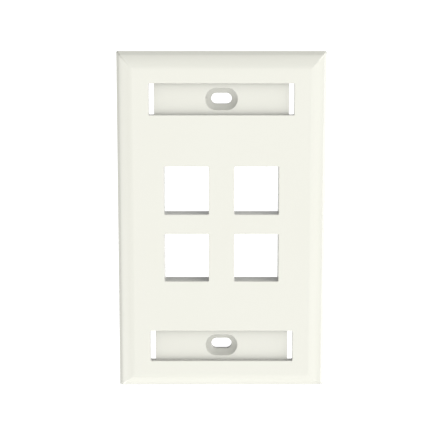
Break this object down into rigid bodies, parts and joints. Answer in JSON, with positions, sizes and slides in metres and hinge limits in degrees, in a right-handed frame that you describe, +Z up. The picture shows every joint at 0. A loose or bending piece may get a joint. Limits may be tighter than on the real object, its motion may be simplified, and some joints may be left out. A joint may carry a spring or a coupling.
{
  "type": "keystone faceplate",
  "caption": "Single-gang wall plate with snap-in jack ports in a square group, a label recess at each end and a countersunk screw slot in each recess.",
  "frame": {"origin": "middle of the plate on the wall plane, which is the flat back edge of its rim, midway between the two screw slots", "axes": "+X to the right seen from the front, +Y into the wall, +Z up along the line of the screws; the face looks along -Y"},
  "size_m": [0.0698, 0.0099, 0.1142],
  "materials": {
    "plate_plastic": "satin moulded ABS, warm office white"
  },
  "bodies": {
    "root": {"faceplate": "plate_plastic"}
  },
  "joints": []
}
